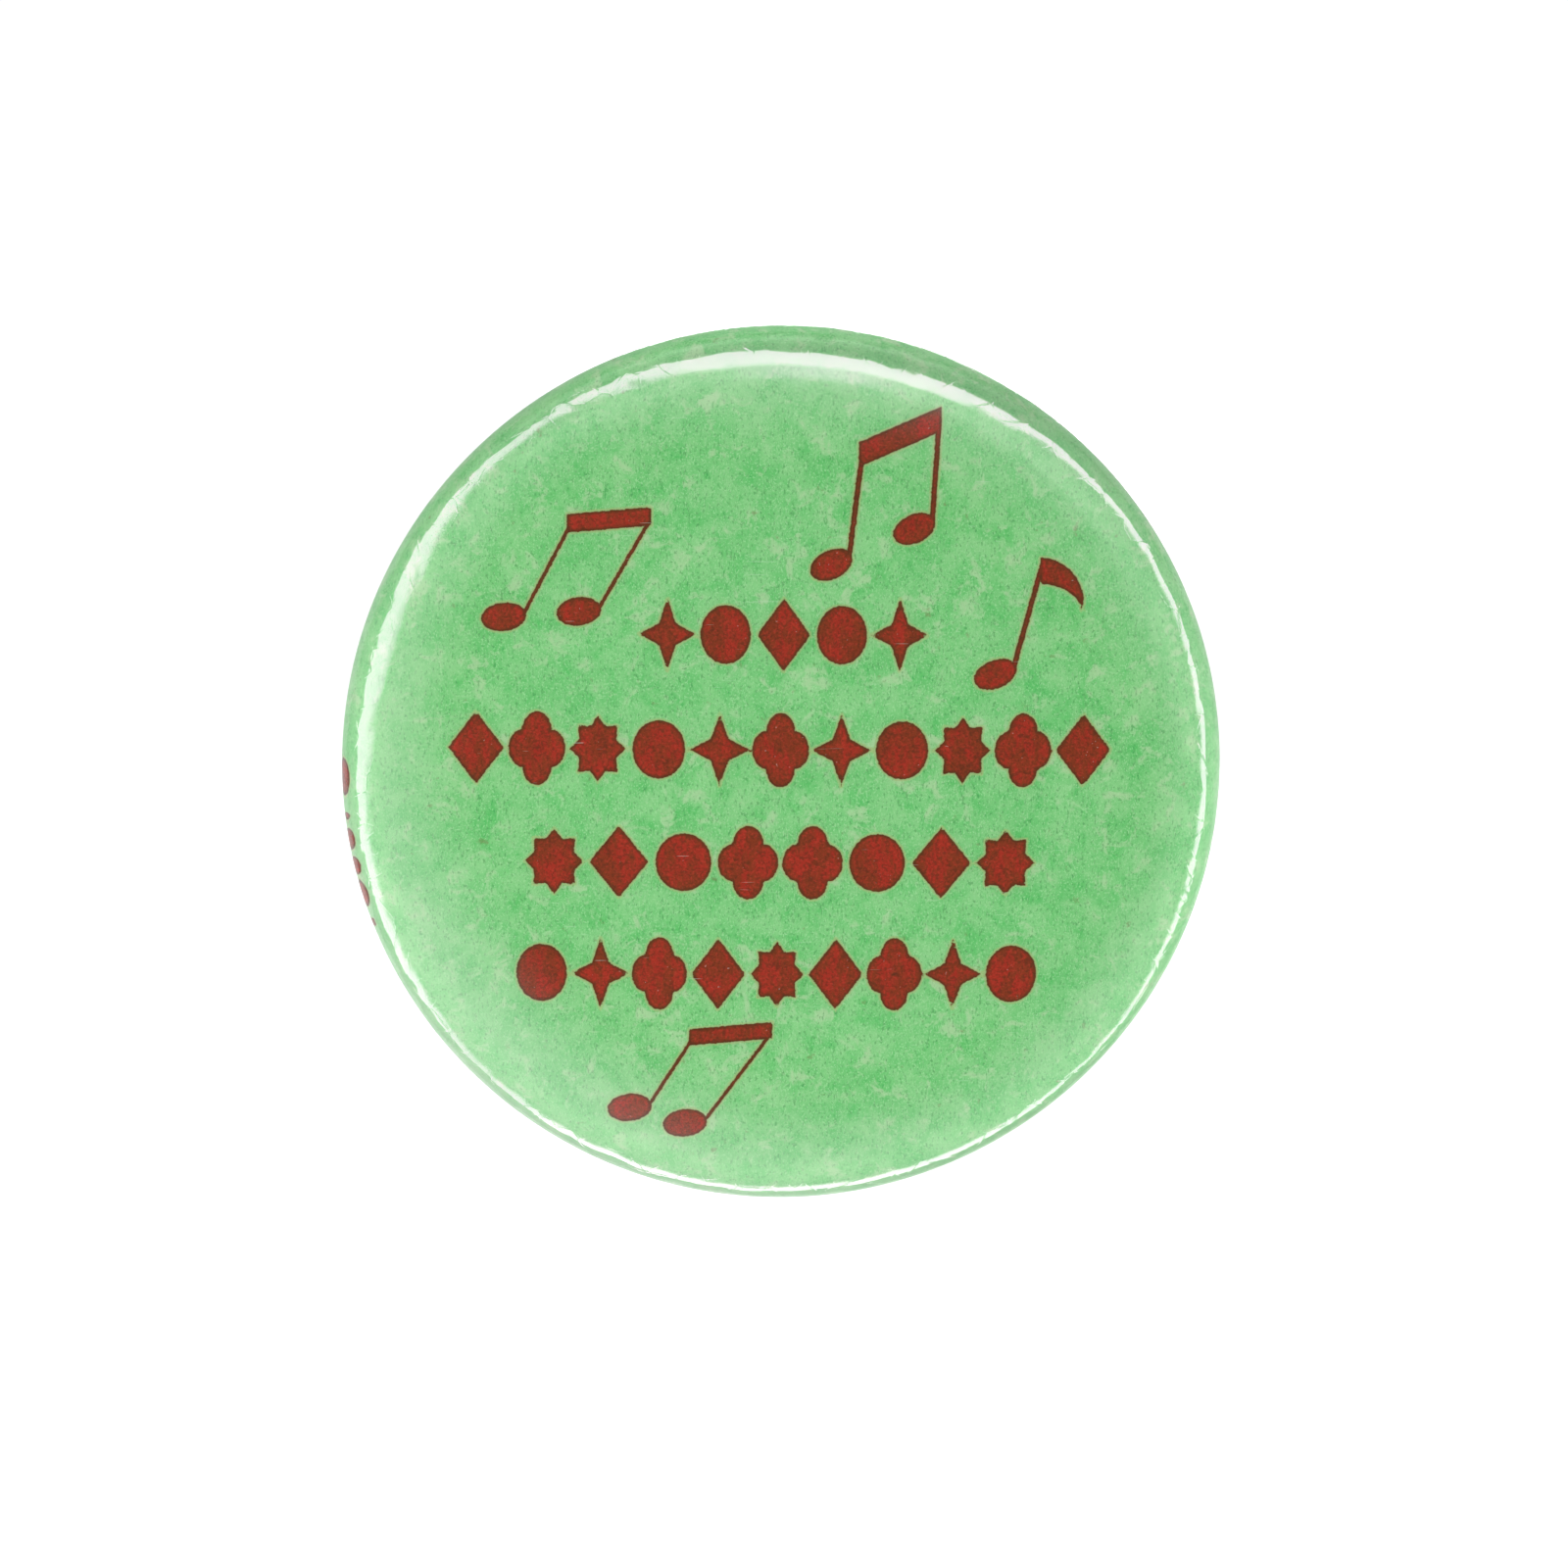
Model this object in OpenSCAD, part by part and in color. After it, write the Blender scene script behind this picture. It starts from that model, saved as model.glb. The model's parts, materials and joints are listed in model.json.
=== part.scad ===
// Round pin-back button badge, worn upright: +Z is the top of the print, the face looks along -Y,
// and the origin is the centre of the flat back rim that rests on the cloth.
// The modules below draw the badge lying on its back rim, with height h from the rim plane to the face,
// and worn() stands it up, so that h becomes -Y.

/* [Badge] */
// Outer diameter over the clear film
badge_d = 57.2; // [54:0.1:62]
// Depth from the flat back rim to the top of the dome
badge_h = 6; // [5.8:0.1:6.6]
// Radius of the gently domed face
dome_r = 250; // [220:10:320]
// Radius of the rounded shoulder between the face and the side
shoulder_r = 3; // [2.8:0.1:3.2]
// Radius of the curl that turns the edge round to the back
curl_r = 1.25; // [1.2:0.05:1.3]

/* [Layers] */
// Thickness of the clear film
film_t = 0.1; // [0.05:0.01:0.12]
// Thickness of the printed paper
paper_t = 0.1; // [0.08:0.01:0.12]
// Thickness of the tinplate shell
shell_t = 0.25; // [0.2:0.01:0.3]

/* [Back plate] */
// Thickness of the tinplate that the back plate is pressed from
plate_t = 0.25; // [0.2:0.01:0.3]
// Depth of the panel below the flat back rim
recess = 2.8; // [2.75:0.05:2.9]
// Depth of the stiffening groove pressed into the panel
groove_depth = 0.4; // [0.2:0.05:0.5]

/* [Safety pin] */
// Diameter of the spring wire
wire_d = 0.9; // [0.8:0.02:0.9]
// Diameter of the ground needle shank
shank_d = 0.84; // [0.7:0.02:0.84]
// Mean radius of the spring coil
coil_r = 2; // [1.9:0.05:2.1]
// Distance from the coil's axis to the needle's tip
needle_length = 35.5; // [34:0.5:36]
// Height of the fixed leg above the badge's centre
leg_up = 6; // [5:0.5:7]
// Thickness of the sheet that the cap is folded from
cap_t = 0.25; // [0.2:0.01:0.27]

/* [Hidden] */
$fn = 64;

layer_gap = 0.01;
film_lift = 0.1; // the film's curl stays this far in front of the plate's flat rim
paper_at = film_t + layer_gap;
shell_at = paper_at + paper_t + layer_gap;

// Depth angles of the section are measured from the face's direction, outwards and then round to the back.
badge_r = badge_d / 2;
shoulder_start = asin((badge_r - shoulder_r) / (dome_r - shoulder_r));
dome_centre = [0, badge_h - dome_r];
shoulder_centre = dome_centre + (dome_r - shoulder_r) * [sin(shoulder_start), cos(shoulder_start)];
curl_centre = [badge_r - curl_r, film_lift + curl_r];
film_end = 300;
paper_end = 295;
shell_end = 280;

// Back plate section, along the middle of its sheet
plate_mid = plate_t / 2;
panel_h = recess + plate_mid;
bend_r = 0.6;
skirt_bend_r = 0.45;
riser_slope = 70;
skirt_gap = 0.05;
skirt_mid_r = badge_r - 2 * curl_r - skirt_gap - plate_mid;
rim_out = skirt_mid_r - skirt_bend_r;
rim_in = rim_out - 1.15;
skirt_end_h = 2;
riser_top = [rim_in, plate_mid + bend_r] - bend_r * [sin(riser_slope), cos(riser_slope)];
panel_bend_h = panel_h - bend_r;
riser_drop = panel_bend_h + bend_r * cos(riser_slope) - riser_top[1];
panel_r = riser_top[0] - riser_drop / tan(riser_slope) - bend_r * sin(riser_slope);
groove_r = panel_r - 1.9;
groove_half = 1.1;

// Safety pin places, in the lying badge: x along the legs, y up the print, h from the rim
wire_r = wire_d / 2;
shank_r = shank_d / 2;
turn_gap = 0.03;
leg_above_panel = 1;
leg_h = recess - leg_above_panel;
needle_h = leg_h - wire_d - turn_gap;
coil_x = -17;
coil_y = leg_up - coil_r;
needle_y = coil_y - coil_r;
coil_turn = 270;
leg_end_x = 19;
root_end_x = -13.6;
shank_start_x = -12.4;
taper_start_x = 12.4;
tip_x = coil_x + needle_length;
tip_r = 0.05;

strap_x = [-8.5, 6.5];
strap_w = 3;
strap_bore_r = wire_r + 0.05;
slot_w = 0.5;
slot_l = 2.6;

cap_start_x = 13.4;
cap_end_x = 20.2;
cap_fit = 0.01; // gap round the crimped leg
needle_room = 0.08; // free height on each side of the needle in the pocket
pocket_half = wire_r + needle_room;
cap_low_y = needle_y - 0.9;
pocket_top_y = needle_y + 0.9;
cap_tip_wall = 0.5;
cap_corner_r = 2.2;

// Points on an arc. first = 1 leaves out the point that the arc before it ends on.
function arc(centre, radius, from, to, steps, first = 0) =
    [for (i = [first:steps]) let (a = from + (to - from) * i / steps) centre + radius * [sin(a), cos(a)]];

function backwards(points) = [for (i = [len(points) - 1:-1:0]) points[i]];

// The badge's section at a depth below the film's outside, from the middle of the face to the end of the curl
function section(depth, end) = concat(
    arc(dome_centre, dome_r - depth, 0, shoulder_start, 10),
    arc(shoulder_centre, shoulder_r - depth, shoulder_start, 90, 18, 1),
    arc(curl_centre, curl_r - depth, 90, end, 26));

module layer(outer, inner, end) {
    rotate_extrude()
        polygon(concat(section(outer, end), backwards(section(inner, end))));
}

// How far the panel is pressed towards the face at a radius
function groove(r) =
    abs(r - groove_r) < groove_half ? groove_depth * (1 + cos(180 * (r - groove_r) / groove_half)) / 2 : 0;

// The plate's section, offset from the middle of its sheet: positive towards the face
function plate_section(offset) = concat(
    [[0, panel_h + offset]],
    [for (i = [0:12]) let (r = groove_r - groove_half + groove_half * i / 6) [r, panel_h + groove(r) + offset]],
    arc([panel_r, panel_bend_h], bend_r + offset, 0, riser_slope, 8),
    arc([rim_in, plate_mid + bend_r], bend_r - offset, 180 + riser_slope, 180, 8),
    arc([rim_out, plate_mid + skirt_bend_r], skirt_bend_r - offset, 180, 90, 8),
    [[skirt_mid_r - offset, skirt_end_h]]);

module worn() {
    rotate([90, 0, 0]) children();
}

// Draws children's flat outline (across = up the print, up = h) as a bar that runs along x
module along_x(from, to) {
    translate([from, 0, 0]) rotate([90, 0, 90]) linear_extrude(to - from) children();
}

// A loop of the plate that the fixed leg turns in
module strap(x) {
    loop_r = strap_bore_r + plate_t;
    along_x(x - strap_w / 2, x + strap_w / 2)
        difference() {
            union() {
                translate([leg_up, leg_h]) circle(loop_r);
                translate([leg_up - loop_r, leg_h]) square([2 * loop_r, leg_above_panel + plate_mid]);
            }
            translate([leg_up, leg_h]) circle(strap_bore_r);
        }
}

// The slits that free a loop from the sheet
module lancing_slots(x) {
    for (side = [-1, 1])
        translate([x + side * (strap_w + slot_w) / 2, leg_up, recess])
            cube([slot_w, slot_l, 4 * plate_t], center = true);
}

module clear_film() {
    color("honeydew", 0.3) worn() layer(0, film_t, film_end);
}

module printed_paper() {
    color("mediumseagreen") worn() layer(paper_at, paper_at + paper_t, paper_end);
}

module front_shell() {
    color("silver") worn() layer(shell_at, shell_at + shell_t, shell_end);
}

module back_plate() {
    color("silver") worn() {
        difference() {
            rotate_extrude()
                polygon(concat(plate_section(-plate_mid), backwards(plate_section(plate_mid))));
            for (x = strap_x) lancing_slots(x);
        }
        for (x = strap_x) strap(x);
    }
}

// One level of the spring coil, from an angle on round by coil_turn
module coil_level(h, from) {
    translate([coil_x, coil_y, h]) rotate([0, 0, from])
        rotate_extrude(angle = coil_turn) translate([coil_r, 0]) circle(wire_r);
}

module rod(from, to, y, h, r_from, r_to) {
    translate([from, y, h]) rotate([0, 90, 0]) cylinder(h = to - from, r1 = r_from, r2 = r_to);
}

module pin_wire() {
    color("gainsboro") worn() {
        coil_level(leg_h, 90);
        rod(coil_x, leg_end_x, leg_up, leg_h, wire_r, wire_r);
    }
}

module pin_needle() {
    color("gainsboro") worn() {
        coil_level(needle_h, 0);
        rod(coil_x, root_end_x, needle_y, needle_h, wire_r, wire_r);
        rod(root_end_x, shank_start_x, needle_y, needle_h, wire_r, shank_r);
        rod(shank_start_x, taper_start_x, needle_y, needle_h, shank_r, shank_r);
        rod(taper_start_x, tip_x, needle_y, needle_h, shank_r, tip_r);
    }
}

// Seen along the legs: a round crimp on the fixed leg and a pocket that is open below, where the needle leaves
module cap_section() {
    crimp_r = wire_r + cap_fit + cap_t;
    pocket_outer = pocket_half + cap_t;
    difference() {
        union() {
            translate([leg_up, leg_h]) circle(crimp_r);
            translate([cap_low_y, needle_h - pocket_outer])
                square([leg_up - cap_low_y, 2 * pocket_outer]);
            translate([leg_up, needle_h]) circle(pocket_outer);
        }
        translate([leg_up, leg_h]) circle(wire_r + cap_fit);
        translate([cap_low_y - 1, needle_h - pocket_half])
            square([pocket_top_y - cap_low_y + 1, 2 * pocket_half]);
    }
}

// Seen from behind: the cap's far end is rounded
module cap_outline() {
    far_x = cap_end_x - cap_corner_r;
    top_y = leg_up + pocket_half + cap_t;
    translate([cap_start_x, cap_low_y]) square([far_x - cap_start_x, top_y - cap_low_y]);
    translate([cap_start_x, cap_low_y + cap_corner_r])
        square([cap_end_x - cap_start_x, top_y - cap_low_y - 2 * cap_corner_r]);
    for (y = [cap_low_y + cap_corner_r, top_y - cap_corner_r])
        translate([far_x, y]) circle(cap_corner_r);
}

module pin_cap() {
    solid_h = leg_h + wire_r;
    color("gainsboro") worn()
        intersection() {
            union() {
                along_x(cap_start_x, cap_end_x - cap_tip_wall) cap_section();
                along_x(cap_end_x - cap_tip_wall, cap_end_x)
                    translate([cap_low_y, needle_h - pocket_half - cap_t])
                        square([leg_up - cap_low_y, 2 * (pocket_half + cap_t)]);
            }
            translate([0, 0, -1]) linear_extrude(solid_h + 2) cap_outline();
        }
}

clear_film();
printed_paper();
front_shell();
back_plate();
pin_wire();
pin_cap();
pin_needle();
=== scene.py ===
import json
import math

import bpy
import numpy as np
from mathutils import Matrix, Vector


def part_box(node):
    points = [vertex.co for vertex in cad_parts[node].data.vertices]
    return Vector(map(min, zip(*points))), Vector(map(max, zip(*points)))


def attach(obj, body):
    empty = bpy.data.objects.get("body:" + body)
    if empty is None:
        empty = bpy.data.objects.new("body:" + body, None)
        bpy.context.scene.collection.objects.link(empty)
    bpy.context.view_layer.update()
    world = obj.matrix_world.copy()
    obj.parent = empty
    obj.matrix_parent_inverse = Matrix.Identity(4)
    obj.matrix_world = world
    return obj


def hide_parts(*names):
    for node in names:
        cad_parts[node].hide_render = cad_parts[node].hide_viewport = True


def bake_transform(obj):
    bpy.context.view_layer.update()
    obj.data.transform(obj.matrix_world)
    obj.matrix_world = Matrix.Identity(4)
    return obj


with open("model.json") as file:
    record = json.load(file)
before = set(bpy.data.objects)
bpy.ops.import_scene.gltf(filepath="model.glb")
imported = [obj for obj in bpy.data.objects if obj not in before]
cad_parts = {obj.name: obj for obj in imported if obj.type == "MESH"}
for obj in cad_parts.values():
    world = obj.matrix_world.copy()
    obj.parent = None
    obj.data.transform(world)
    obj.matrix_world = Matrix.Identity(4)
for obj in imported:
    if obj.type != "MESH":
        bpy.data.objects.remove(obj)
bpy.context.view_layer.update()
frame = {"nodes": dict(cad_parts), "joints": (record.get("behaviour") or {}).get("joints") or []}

MM = 0.001
RANDOM = np.random.default_rng(7)

# The badge's section in mm, as the CAD draws it: a wide dome, a rounded shoulder and a curl round to the back.
# Radii are measured from the badge's axis and heights from the flat back rim towards the face. A lean is how far the
# surface has turned away from the face: 0 at its middle, 90 degrees on the side wall and 180 at the back. The tucks
# are the leans at which the film and the paper end, in degrees.
film_low, film_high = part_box("clear_film")
BADGE_R = film_high.x / MM
BADGE_H = -film_low.y / MM
CURL_LIFT = -film_high.y / MM
DOME_R = 250.0
SHOULDER_R = 3.0
CURL_R = 1.25
FILM_T = 0.1
PAPER_T = 0.1
PAPER_AT = BADGE_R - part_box("printed_paper")[1].x / MM
FILM_TUCK, PAPER_TUCK = 300, 295
SHOULDER_LEAN = math.asin((BADGE_R - SHOULDER_R) / (DOME_R - SHOULDER_R))
SHOULDER_H = BADGE_H - DOME_R + (DOME_R - SHOULDER_R) * math.cos(SHOULDER_LEAN)

# The photograph's view: a long lens, a little above the badge and a little to its left
VIEW_AZIMUTH, VIEW_ELEVATION = math.radians(-2), math.radians(7.3)
LENS, SENSOR = 120, 36
FRAME_WIDTH = 101.55 * MM
AIM = Vector((0.1, -2.5, -1.12)) * MM
TO_CAMERA = Vector((math.sin(VIEW_AZIMUTH) * math.cos(VIEW_ELEVATION),
                    -math.cos(VIEW_AZIMUTH) * math.cos(VIEW_ELEVATION), math.sin(VIEW_ELEVATION)))
CAMERA_AT = AIM + TO_CAMERA * (FRAME_WIDTH * LENS / SENSOR)


# Small tools for meshes

def smooth_step(low, high, value):
    """0 below low, 1 above high and an even ease between them."""
    share = np.clip((value - low) / (high - low), 0, 1)
    return share * share * (3 - 2 * share)


def lobe(angle, centre, width):
    """A smooth bump of height 1 round one direction, all in degrees."""
    away = (angle - centre + 180) % 360 - 180
    return np.exp(-((away / width) ** 2))


def new_piece(name, points, faces, material, body):
    """A smooth-shaded mesh piece that rides on a CAD body."""
    mesh = bpy.data.meshes.new(name)
    mesh.from_pydata(np.asarray(points).tolist(), [], faces)
    mesh.polygons.foreach_set("use_smooth", np.ones(len(mesh.polygons), bool))
    mesh.materials.append(material)
    piece = bpy.data.objects.new(name, mesh)
    bpy.context.scene.collection.objects.link(piece)
    if body:
        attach(piece, body)
    return piece


def ring_faces(rings, spokes, first):
    """Quads that join each ring of points to the next one. The rings' points are numbered from first."""
    here = np.arange(spokes)
    after = np.roll(here, -1)
    faces = []
    for ring in range(rings - 1):
        near = first + ring * spokes
        far = near + spokes
        quads = np.stack([near + here, far + here, far + after, near + after], axis=1)
        faces.extend(quads.tolist())
    return faces


def lathe(rings, front_pole, back_pole):
    """Points and faces of a closed skin: rings (rings x spokes x 3) between a point on the face and one behind it."""
    count, spokes, _ = rings.shape
    points = np.concatenate([[front_pole], rings.reshape(-1, 3), [back_pole]])
    last_ring = 1 + (count - 1) * spokes
    back = 1 + count * spokes
    faces = ring_faces(count, spokes, 1)
    for here in range(spokes):
        after = (here + 1) % spokes
        faces.append((0, 1 + here, 1 + after))
        faces.append((last_ring + here, back, last_ring + after))
    return points, faces


# The badge's section

def section(face_steps, shoulder_steps, curl_steps, curl_end):
    """The arcs' centres, radii and leans at each step, from the middle of the face round to the back.

    curl_end is the lean at which the curl stops, in degrees."""
    side = math.pi / 2
    arcs = (
        (0, BADGE_H - DOME_R, DOME_R, 0, SHOULDER_LEAN, face_steps),
        (BADGE_R - SHOULDER_R, SHOULDER_H, SHOULDER_R, SHOULDER_LEAN, side, shoulder_steps),
        (BADGE_R - CURL_R, CURL_LIFT + CURL_R, CURL_R, side, math.radians(curl_end), curl_steps),
    )
    rows = []
    for centre_r, centre_h, radius, start, stop, steps in arcs:
        for turn in np.linspace(start, stop, steps + 1)[1:]:
            rows.append((centre_r, centre_h, radius, turn))
    return np.array(rows)


def spoke_angles(spokes):
    return np.arange(spokes) * 2 * math.pi / spokes


def rings_at(rows, depth, spokes):
    """The points of the section's rows, depth mm under the badge's outside, in metres."""
    centre_r, centre_h, radius, turn = (column[:, None] for column in rows.T)
    reach = radius - depth
    r = centre_r + reach * np.sin(turn) + np.zeros(spokes)
    h = centre_h + reach * np.cos(turn) + np.zeros(spokes)
    angle = spoke_angles(spokes)
    return np.stack([r * np.cos(angle), -h, r * np.sin(angle)], axis=2) * MM


def pole_at(depth):
    return np.array([0, depth - BADGE_H, 0]) * MM


# The print: drawn in mm on the face, x to the right and z up, as distances to its outlines

FAR = 9.0  # stands for any distance that is too far to matter


def turned(x, z, centre, angle):
    """Points about a centre, turned back by an angle in degrees."""
    c, s = math.cos(math.radians(angle)), math.sin(math.radians(angle))
    dx, dz = x - centre[0], z - centre[1]
    return c * dx + s * dz, c * dz - s * dx


def ellipse(x, z, centre, half_w, half_h, angle=0):
    px, pz = turned(x, z, centre, angle)
    near = np.hypot(px / half_w, pz / half_h)
    slope = np.hypot(px / half_w**2, pz / half_h**2)
    return near * (near - 1) / np.maximum(slope, 1e-6)


def polygon(x, z, corners):
    """Signed distance to a closed outline: negative inside."""
    nearest = np.full(x.shape, 1e9)
    inside = np.zeros(x.shape, bool)
    for (ax, az), (bx, bz) in zip(corners, corners[1:] + corners[:1]):
        ex, ez = bx - ax, bz - az
        along = np.clip(((x - ax) * ex + (z - az) * ez) / (ex * ex + ez * ez), 0, 1)
        nearest = np.minimum(nearest, np.hypot(x - ax - along * ex, z - az - along * ez))
        if ez:
            crossing = ax + ex * (z - az) / ez
            inside ^= ((az > z) != (bz > z)) & (x < crossing)
    return np.where(inside, -nearest, nearest)


def placed(corners, centre, angle):
    """Outline corners turned by an angle in degrees and moved to a centre."""
    c, s = math.cos(math.radians(angle)), math.sin(math.radians(angle))
    return [(centre[0] + c * x - s * z, centre[1] + s * x + c * z) for x, z in corners]


def star(points, reach_x, reach_z, waist):
    """The corners of a star whose inner corners lie at a share of its reach."""
    corners = []
    for step in range(2 * points):
        share = 1 if step % 2 == 0 else waist
        angle = math.pi / 2 + math.pi * step / points
        corners.append((share * reach_x * math.cos(angle), share * reach_z * math.sin(angle)))
    return corners


def ornament(kind, x, z, centre, half_w, half_h):
    """One plain printer's ornament of a given half width and half height."""
    if kind == "disc":
        return ellipse(x, z, centre, 0.94 * half_w, 0.8 * half_h)
    if kind == "lozenge":
        return polygon(x, z, placed([(0, half_h), (half_w, 0), (0, -half_h), (-half_w, 0)], centre, 0))
    if kind == "star":
        return polygon(x, z, placed(star(4, half_w * 1.08, half_h, 0.42), centre, 0))
    if kind == "burst":
        return polygon(x, z, placed(star(8, half_w, half_h * 0.92, 0.72), centre, 0))
    if kind == "petals":
        lobes = [ellipse(x, z, (centre[0] + dx * half_w * 0.5, centre[1] + dz * half_h * 0.5),
                         half_w * 0.52, half_h * 0.52)
                 for dx, dz in ((0, 1), (1, 0), (0, -1), (-1, 0))]
        return np.minimum.reduce(lobes)
    raise ValueError(kind)


def beamed_pair(x, z, heads, beam, thick, tilt):
    """Two joined quavers without their stems: the heads' middles, the beam's ends and thickness, the heads' tilt."""
    (ax, az), (bx, bz) = beam
    shapes = [ellipse(x, z, head, HEAD_W, HEAD_H, tilt) for head in heads]
    shapes.append(polygon(x, z, [(ax, az - thick / 2), (bx, bz - thick / 2),
                                 (bx, bz + thick / 2), (ax, az + thick / 2)]))
    return np.minimum.reduce(shapes)


def quaver(x, z, head, top, tilt):
    """One quaver without its stem: the middle of its head, the top of its stem and the head's tilt.

    Its flag lies between two elliptical arcs, and is as thick as flag_root at the stem."""
    flag_w, flag_root, upper_drop, lower_drop = 2.9, 1.7, 3.0, 2.2
    turns = np.linspace(0, math.pi / 2, 9)
    upper = [(top[0] + flag_w * math.sin(t), top[1] - upper_drop * (1 - math.cos(t))) for t in turns]
    lower = [(top[0] + flag_w * math.sin(t), top[1] - flag_root - lower_drop * (1 - math.cos(t))) for t in turns]
    tip = (upper[-1][0] - 0.25, upper[-1][1] - 0.35)
    flag = polygon(x, z, upper + [tip] + lower[-2::-1])
    return np.minimum(ellipse(x, z, head, HEAD_W, HEAD_H, tilt), flag)


# Each row of the frieze: its height on the face, its left and right ends and its ornaments
FRIEZE = (
    (8.9, -9.4, 9.2, ("star", "disc", "lozenge", "disc", "star")),
    (1.5, -21.7, 21.2, ("lozenge", "petals", "burst", "disc", "star", "petals", "star", "disc", "burst",
                        "petals", "lozenge")),
    (-5.8, -16.8, 16.4, ("burst", "lozenge", "disc", "petals", "petals", "disc", "lozenge", "burst")),
    (-13.1, -17.4, 16.7, ("disc", "star", "petals", "lozenge", "burst", "lozenge", "petals", "star", "disc")),
)
ROW_HALF_H = 2.35
PRINT_TURN = -0.5

# A note's head has this half width and half height, and its stem starts at this share of the half width
HEAD_W, HEAD_H = 1.45, 0.92
STEM_FOOT = 0.88
# Each beamed pair: the middles of its heads, the ends of its beam, the beam's thickness and the heads' tilt
PAIRS = (
    (((-18.0, 9.9), (-13.2, 10.3)), ((-14.0, 15.9), (-8.6, 16.4)), 1.2, 8),
    (((2.9, 13.4), (8.2, 15.7)), ((4.6, 20.4), (9.9, 22.7)), 1.6, 26),
    (((-9.8, -22.0), (-6.2, -23.0)), ((-6.0, -17.3), (-0.6, -16.8)), 1.1, 8),
)
SINGLE_HEAD, SINGLE_TOP, SINGLE_TILT = (13.5, 6.4), (16.3, 13.9), 22
PAIR_STEM_W = (0.26, 0.36, 0.24)
SINGLE_STEM_W = 0.36
STEM_BAND = 1.2  # how far from a stem its distances are still kept, in mm


def stems():
    """The notes' stems: where each starts and ends, on which side its distance is positive, and half its width."""
    found = []
    for (heads, beam, thick, tilt), width in zip(PAIRS, PAIR_STEM_W):
        for head, (bx, bz), side in zip(heads, beam, (1, -1)):
            found.append((head, (bx + side * width / 2, bz - thick / 4), tilt, side, width / 2))
    half = SINGLE_STEM_W / 2
    found.append((SINGLE_HEAD, (SINGLE_TOP[0] + half, SINGLE_TOP[1] - SINGLE_STEM_W), SINGLE_TILT, 1, half))
    for (hx, hz), top, tilt, side, half in found:
        angle = math.radians(tilt)
        foot = (hx + STEM_FOOT * HEAD_W * math.cos(angle), hz + STEM_FOOT * HEAD_W * math.sin(angle))
        yield foot, top, side, half


def stem_lines(x, z):
    """The signed distance across the nearest stem, half its width, and how far each point is beyond its reach, in mm.

    All run evenly across a thin line, so the print keeps it sharp between the mesh's points."""
    x, z = turned(x, z, (0, 0), PRINT_TURN)
    best = np.full(x.shape, 1e9)
    across, halves, beyond = np.zeros(x.shape), np.zeros(x.shape), np.full(x.shape, FAR)
    for (ax, az), (bx, bz), side, half in stems():
        ex, ez = bx - ax, bz - az
        long = math.hypot(ex, ez)
        along = ((x - ax) * ex + (z - az) * ez) / long
        off = side * ((x - ax) * ez - (z - az) * ex) / long
        past = np.maximum(-along, along - long)
        reach = np.hypot(off, np.maximum(past, 0))
        nearer = reach < best
        best = np.where(nearer, reach, best)
        across = np.where(nearer, off, across)
        halves = np.where(nearer, half, halves)
        beyond = np.where(nearer, np.maximum(past, np.abs(off) - STEM_BAND), beyond)
    return across, halves, beyond


def ink_distance(x, z):
    """How far each point of the face is from the ink, in mm, without the stems; negative inside it."""
    x, z = turned(x, z, (0, 0), PRINT_TURN)
    shapes = [beamed_pair(x, z, *pair) for pair in PAIRS]
    shapes.append(quaver(x, z, SINGLE_HEAD, SINGLE_TOP, SINGLE_TILT))
    for height, left, right, kinds in FRIEZE:
        pitch = (right - left) / len(kinds)
        for place, kind in enumerate(kinds):
            centre = (left + (place + 0.5) * pitch, height)
            shapes.append(ornament(kind, x, z, centre, pitch * 0.46, ROW_HALF_H))
    return np.minimum.reduce(shapes)


# The face's print isn't drawn beyond this lean, in degrees
FACE_PRINT_END = 60
# The dots on the side wall start at this direction, lie round this lean, in degrees, and have each its place along
# the wall, its half length and its half height, in mm
DOTS_FROM, DOTS_LEAN = 181, 71
RIM_DOTS = ((0, 1.25, 0.92), (2.6, 0.26, 0.7), (4.1, 0.72, 0.86), (5.9, 0.62, 0.9), (7.8, 0.9, 0.85), (9.8, 0.3, 0.5))


def rim_dots(rows, spokes):
    """The distance to a row of uneven dots on the left side wall, in mm."""
    along = (spoke_angles(spokes)[None, :] - math.radians(DOTS_FROM)) * BADGE_R
    down = (rows[:, 3:4] - math.radians(DOTS_LEAN)) * SHOULDER_R
    dots = [(np.hypot((along - at) / long, down / high) - 1) * high for at, long, high in RIM_DOTS]
    return np.minimum.reduce(dots)


# Shader tools

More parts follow.
